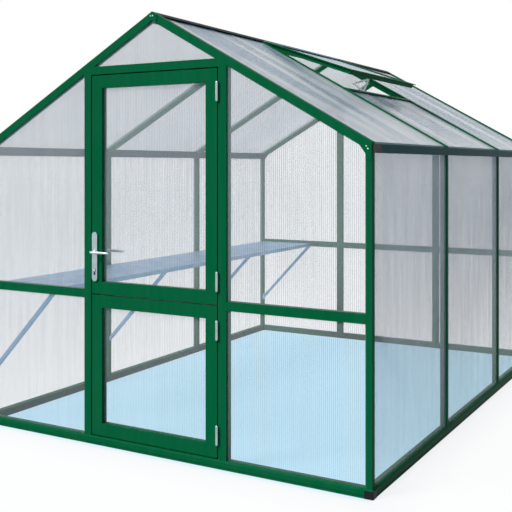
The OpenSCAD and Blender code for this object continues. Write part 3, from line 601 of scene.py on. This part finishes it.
def upright_ribs(work, x0, x1, y0, y1, z0, top):
    """Ribs of a gable sheet: the sheet's face lies across X and its top may follow the roof."""
    for x in flute_lines(x0, x1):
        z1 = top(x)
        thin_wall(work, [(x, y0 + SKIN, z0), (x, y1 - SKIN, z0), (x, y1 - SKIN, z1), (x, y0 + SKIN, z1)],
                  (RIB / 2, 0, 0))


SLOPE = math.radians(29.5)
RAFTER_DEEP = 0.0405


def under_rafter(x):
    return RIDGE_TOP - abs(x) * math.tan(SLOPE) - RAFTER_DEEP


def level(z):
    """A flat top edge at a height."""
    return lambda x: z


rail_low, rail_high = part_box("front_mid_rails")
RIB_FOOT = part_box("front_sheets")[0].z + SHEET_SEAT - RIB_SEAT
UNDER_RAIL = rail_low.z + RIB_SEAT
OVER_RAIL = rail_high.z - RIB_SEAT
OVER_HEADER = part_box("rear_rails")[1].z - RIB_SEAT
BAY_EDGES = (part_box("door_posts")[1].x - RIB_SEAT, rail_high.x + RIB_SEAT)
PEAK_EDGE = 0.405
# The front's right door post is a little broader than its left one.
DOOR_POST_STEP = 0.001
REAR_MIDDLE = 0.414
REAR_TOP = 2.005


def outer_bay_ribs(work, y0, y1):
    """The two outer bays of a gable, under and over its mid rail."""
    for side in (-1, 1):
        x0, x1 = sorted((side * BAY_EDGES[0], side * BAY_EDGES[1]))
        upright_ribs(work, x0, x1, y0, y1, RIB_FOOT, level(UNDER_RAIL))
        upright_ribs(work, x0, x1, y0, y1, OVER_RAIL, under_rafter)


def front_ribs(work):
    low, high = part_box("front_sheets")
    outer_bay_ribs(work, low.y, high.y)
    upright_ribs(work, -PEAK_EDGE, PEAK_EDGE - DOOR_POST_STEP, low.y, high.y, OVER_HEADER, under_rafter)


def rear_ribs(work):
    low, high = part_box("rear_sheets")
    outer_bay_ribs(work, low.y, high.y)
    upright_ribs(work, -REAR_MIDDLE, REAR_MIDDLE, low.y, high.y, RIB_FOOT, level(UNDER_RAIL))
    upright_ribs(work, -REAR_MIDDLE, REAR_MIDDLE, low.y, high.y, OVER_RAIL, level(REAR_TOP))
    upright_ribs(work, -PEAK_EDGE, PEAK_EDGE, low.y, high.y, OVER_HEADER, under_rafter)


new_piece("front_sheet_ribs", front_ribs, rib_film, "house", smooth=False)
new_piece("rear_sheet_ribs", rear_ribs, rib_film, "house", smooth=False)

BAR_WIDTH = 0.025
bars_low, bars_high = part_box("side_bars")
wall_low, wall_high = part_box("left_side_sheets")
BAYS = ((wall_low.y, bars_low.y + SHEET_SEAT),
        (bars_low.y + BAR_WIDTH - SHEET_SEAT, bars_high.y - BAR_WIDTH + SHEET_SEAT),
        (bars_high.y - SHEET_SEAT, wall_high.y))
SIDE_TOP = 1.569


def side_ribs(side):
    low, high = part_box(side + "_side_sheets")
    x0, x1 = low.x + SKIN, high.x - SKIN

    def build(work):
        for bay in BAYS:
            for y in flute_lines(*bay):
                thin_wall(work, [(x0, y, RIB_FOOT), (x1, y, RIB_FOOT), (x1, y, SIDE_TOP), (x0, y, SIDE_TOP)],
                          (0, RIB / 2, 0))
    new_piece(side + "_side_sheet_ribs", build, rib_film, "house", smooth=False)


side_ribs("left")
side_ribs("right")


def slope_point(side, down, out, y):
    """A point of a roof slope: down from the ridge along it, and out from its top face."""
    return Vector((side * (down * math.cos(SLOPE) + out * math.sin(SLOPE)), y,
                   RIDGE_TOP - down * math.sin(SLOPE) + out * math.cos(SLOPE)))


# Along the slope, where the roof's ribs start and end; square to it, where the sheet lies.
ROOF_TOP_EDGE = 0.032
ROOF_LOW_EDGE = 1.3905
WINDOW_SILL = 0.695
SHEET_DEEP = -0.018
SHEET_OUT = -0.008


def roof_ribs(side, name, starts):
    def build(work):
        for bay, start in zip(BAYS, starts):
            outline = [(start, SHEET_DEEP + SKIN), (ROOF_LOW_EDGE, SHEET_DEEP + SKIN),
                       (ROOF_LOW_EDGE, SHEET_OUT - SKIN), (start, SHEET_OUT - SKIN)]
            for y in flute_lines(*bay):
                thin_wall(work, [slope_point(side, down, out, y) for down, out in outline], (0, RIB / 2, 0))
    new_piece(name + "_roof_sheet_ribs", build, rib_film, "house", smooth=False)


roof_ribs(-1, "left", (ROOF_TOP_EDGE,) * 3)
roof_ribs(1, "right", (ROOF_TOP_EDGE, WINDOW_SILL, ROOF_TOP_EDGE))


# The roof window: a framed twin-wall sheet on a rod under the ridge, propped open
# a hand's breadth by a plain zinc scissor stay on its sill bar.

dress(green_coat, "vent_sill_bar", "vent_side_rails", "vent_end_rails")
dress(roof_painted_shade_film, "vent_sheet")
# Painted shade: the alloy's strong blue stands for the bluish light through the sheets and is not bare
# aluminium's own grey.
alloy_painted_blue_shade = brushed("alloy_painted_blue_shade", (0.19, 0.37, 0.58, 1), (0.32, 0.50, 0.70, 1), 0.42, (6, 0.3, 6), 0.7)
dress(alloy_painted_blue_shade, "vent_hinge_rod")
bright_zinc = brushed("bright_zinc", (0.62, 0.64, 0.64, 1), (0.78, 0.79, 0.80, 1), 0.3)
dress(bright_zinc, "vent_stay")

WINDOW_START = 0.053
WINDOW_LIP = 0.006
WINDOW_LEAN = SLOPE - math.radians(10)
# The sheet's ribs in the window's own slope: from and to, and their lower and upper edge.
WINDOW_RIB_ENDS = (0.017, 0.615)
WINDOW_RIB_EDGES = (-0.0175, -0.0085)


def window_point(down, out, y):
    """A point of the open window's own slope, from its top edge."""
    base = slope_point(1, WINDOW_START, WINDOW_LIP, y)
    return base + Vector((down * math.cos(WINDOW_LEAN) + out * math.sin(WINDOW_LEAN), 0,
                          -down * math.sin(WINDOW_LEAN) + out * math.cos(WINDOW_LEAN)))


def window_ribs(work):
    low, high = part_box("vent_sheet")
    start, end = WINDOW_RIB_ENDS
    under, over = WINDOW_RIB_EDGES
    for y in flute_lines(low.y, high.y):
        corners = [window_point(start, under, y), window_point(end, under, y),
                   window_point(end, over, y), window_point(start, over, y)]
        thin_wall(work, corners, (0, RIB / 2, 0))


new_piece("vent_sheet_ribs", window_ribs, rib_film, "house", smooth=False)


# The shelf: four plain aluminium slats on bearers and raking braces, bolted
# to the bars of the left wall, with an edge rail along each side.

# The shelf's blue is painted shade, not the aluminium's own colour.
dress(alloy_painted_blue_shade, "shelf_boards", "shelf_rails", "shelf_bearers", "shelf_braces")

HEX_FLATS = 0.010
HEX_HEIGHT = 0.004
HEX_SEAT = 0.0006
# The chamfer, as shares of the head's height and of its radius.
CHAMFER_FROM = 0.75
CHAMFER_TOP = 0.84
# Bolts through a brace: in from its wall end and up, and in from its shelf end and down.
WALL_BOLT = (0.012, 0.026)
SHELF_BOLT = (0.020, 0.012)
BRACE_TO_POST = 0.0398
BRACE_INSET = 0.0025


def hex_head(work, at, direction):
    """A bolt head with a turned chamfer."""
    r = HEX_FLATS / 2 / math.cos(math.radians(30))
    outline = [(r, -HEX_SEAT), (r, HEX_HEIGHT * CHAMFER_FROM), (r * CHAMFER_TOP, HEX_HEIGHT)]
    lathe(work, outline, at, direction, 6)


def shelf_bolt_heads(work):
    low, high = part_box("shelf_braces")
    faces = [(low.y + BRACE_TO_POST, 1), (high.y - BRACE_TO_POST, -1)]
    for bar in (bars_low.y, bars_high.y - BAR_WIDTH):
        faces += [(bar + BRACE_INSET, -1), (bar + BAR_WIDTH - BRACE_INSET, 1)]
    for y, way in faces:
        hex_head(work, (low.x + WALL_BOLT[0], y, low.z + WALL_BOLT[1]), (0, way, 0))
        hex_head(work, (high.x - SHELF_BOLT[0], y, high.z - SHELF_BOLT[1]), (0, way, 0))


new_piece("shelf_bolts", shelf_bolt_heads, bright_zinc, "house", smooth=False)


# The door hinges: lift-off pin hinges in satin metal, one half screwed to the doorway's
# right post and the other to the edge of the leaf.

satin = brushed("satin_metal", (0.34, 0.43, 0.46, 1), (0.46, 0.55, 0.58, 1), 0.34, (1, 1, 0.08))
dress(satin, "frame_hinge_halves", "upper_hinge_halves", "lower_hinge_halves")


# The door: two leaves one above the other, green stiles and rails butted and pinned,
# each with its own twin-wall pane in the grooves.

dress(green_coat, "upper_leaf_stiles", "upper_leaf_rails", "lower_leaf_stiles", "lower_leaf_rails")
dress(wall_film, "upper_leaf_sheet", "lower_leaf_sheet")

PANE_RIB_SHORT = 0.001


def leaf_ribs(body):
    low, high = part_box(body + "_sheet")

    def build(work):
        upright_ribs(work, low.x, high.x, low.y, high.y, low.z + PANE_RIB_SHORT,
                     level(high.z - PANE_RIB_SHORT))
    new_piece(body + "_sheet_ribs", build, rib_film, body, smooth=False)


leaf_ribs("upper_leaf")
leaf_ribs("lower_leaf")


# The door seal: a black rubber bulb pressed into the stops all round the doorway,
# so that both leaves close against it.

def tube_along(work, points, radii, steps=16, flat=1.0, up=(0, 0, 1)):
    """A round or flattened rod along points that turn in one plane, with a radius at each."""
    up = Vector(up)
    points = [Vector(p) for p in points]
    angles = [2 * math.pi * k / steps for k in range(steps)]
    rings = []
    for n, (here, r) in enumerate(zip(points, radii)):
        way = (points[min(n + 1, len(points) - 1)] - points[max(n - 1, 0)]).normalized()
        side = way.cross(up).normalized()
        rings.append([work.verts.new(here + side * (r * math.cos(a)) + up * (r * flat * math.sin(a)))
                      for a in angles])
    for low, high in zip(rings, rings[1:]):
        for k in range(steps):
            work.faces.new((low[k], low[(k + 1) % steps], high[(k + 1) % steps], high[k]))
    work.faces.new(rings[0])
    work.faces.new(rings[-1])


black_rubber = moulded("black_rubber", (0.010, 0.010, 0.011, 1), (0.045, 0.045, 0.048, 1), 0.6)

# The seal's right leg stands a little further in, as the broader door post there does.
SEAL_LEFT = -0.3975
SEAL_RIGHT = 0.3965
SEAL_TOP = 1.989
SEAL_FOOT = 0.053
SEAL_RADIUS = 0.0021
SEAL_SUNK = 0.0003
SEAL_TURN = 0.006


def seal_bulb(work):
    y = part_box("door_stops")[0].y - SEAL_RADIUS + SEAL_SUNK
    shoulder = SEAL_TOP - SEAL_TURN
    angles = [math.radians(d) for d in (20, 45, 70, 90)]
    arc = [(SEAL_TURN * (1 - math.cos(a)), shoulder + SEAL_TURN * math.sin(a)) for a in angles]
    path = [(SEAL_LEFT, y, SEAL_FOOT), (SEAL_LEFT, y, shoulder)]
    path += [(SEAL_LEFT + inward, y, z) for inward, z in arc]
    path += [(-SEAL_LEFT - inward, y, z) for inward, z in reversed(arc)]
    path += [(SEAL_RIGHT, y, shoulder), (SEAL_RIGHT, y, SEAL_FOOT)]
    tube_along(work, path, [SEAL_RADIUS] * len(path), 10, up=(0, 1, 0))


new_piece("door_seal", seal_bulb, black_rubber, "house")


# The lock: long round-ended cover plates on both faces of the upper leaf's left stile,
# with the key cylinder low down, in satin metal and blackened brass.

dress(satin, "lock_plates")
dark_barrel = brushed("blackened_barrel", (0.035, 0.045, 0.06, 1), (0.10, 0.12, 0.14, 1), 0.3, metal=0.8)
dress(dark_barrel, "lock_cylinder")

KEY_X = -0.377
KEY_Z = 0.940
# Radius and height, from the rim in to the key slot.
PLUG_OUTLINE = [(0.0062, -0.0004), (0.0062, 0.0003), (0.0056, 0.0006), (0.0022, 0.0006), (0.0016, 0.0003),
                (0.0, 0.0003)]


def key_faces(work):
    """A turned plug in each end of the cylinder, with a raised lip round its key slot."""
    low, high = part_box("lock_cylinder")
    for y, way in ((low.y, -1), (high.y, 1)):
        lathe(work, PLUG_OUTLINE, (KEY_X, y, KEY_Z), (0, way, 0), 24)


bright_nickel = brushed("bright_nickel", (0.62, 0.63, 0.62, 1), (0.78, 0.79, 0.79, 1), 0.22)
new_piece("key_plugs", key_faces, bright_nickel, "upper_leaf")


# The lever handles: a pair on one square spindle, each a cast neck, a swept elbow and a
# grip that thins a little towards its rounded end, over a turned collar.

LEVER_Z = 1.040
GRIP = 0.0088
GRIP_END = 0.0068
GRIP_FLAT = 0.92
GRIP_SPANS = 5
ELBOW = 0.014
NECK_START = 0.0030
NECK_RUN = 0.012
NECK_RADII = [0.0078, 0.0074, 0.0080]
SPINDLE = 0.0038
# Radius and height, from the plate up to the neck.
COLLAR_OUTLINE = [(0.0118, 0.0002), (0.0118, 0.0022), (0.0104, 0.0036), (0.0078, 0.0040)]


def lever_rod(plate_y, reach_y, way, tip_x):
    """One lever's middle line and the radius at each of its points."""
    start = plate_y + way * NECK_START
    bend = reach_y - way * ELBOW
    path = [(KEY_X, start, LEVER_Z), (KEY_X, start + way * NECK_RUN, LEVER_Z), (KEY_X, bend, LEVER_Z)]
    radii = list(NECK_RADII)
    for a in [math.radians(d) for d in (18, 36, 54, 72, 90)]:
        path.append((KEY_X + ELBOW * (1 - math.cos(a)), bend + way * ELBOW * math.sin(a), LEVER_Z))
        radii.append(GRIP)
    elbow_x = KEY_X + ELBOW
    for n in range(1, GRIP_SPANS + 1):
        path.append((elbow_x + (tip_x - elbow_x) * n / GRIP_SPANS, reach_y, LEVER_Z))
        radii.append(GRIP + (GRIP_END - GRIP) * n / GRIP_SPANS)
    for a in [math.radians(d) for d in (25, 50, 72, 86)]:
        path.append((tip_x + GRIP_END * math.sin(a), reach_y, LEVER_Z))
        radii.append(GRIP_END * math.cos(a))
    return path, radii


def lever_pair(work):
    low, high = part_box("levers")
    plate_low, plate_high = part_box("lock_plates")
    for plate_y, reach_y, way in ((plate_low.y, low.y + GRIP, -1), (plate_high.y, high.y - GRIP, 1)):
        lathe(work, COLLAR_OUTLINE, (KEY_X, plate_y, LEVER_Z), (0, way, 0), 32)
        path, radii = lever_rod(plate_y, reach_y, way, high.x - GRIP_END)
        tube_along(work, path, radii, 24, flat=GRIP_FLAT)
    tube_along(work, [(KEY_X, plate_low.y, LEVER_Z), (KEY_X, plate_high.y, LEVER_Z)], [SPINDLE] * 2, 4)


levers = new_piece("lever_handles", lever_pair, satin, "lever")
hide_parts("levers")
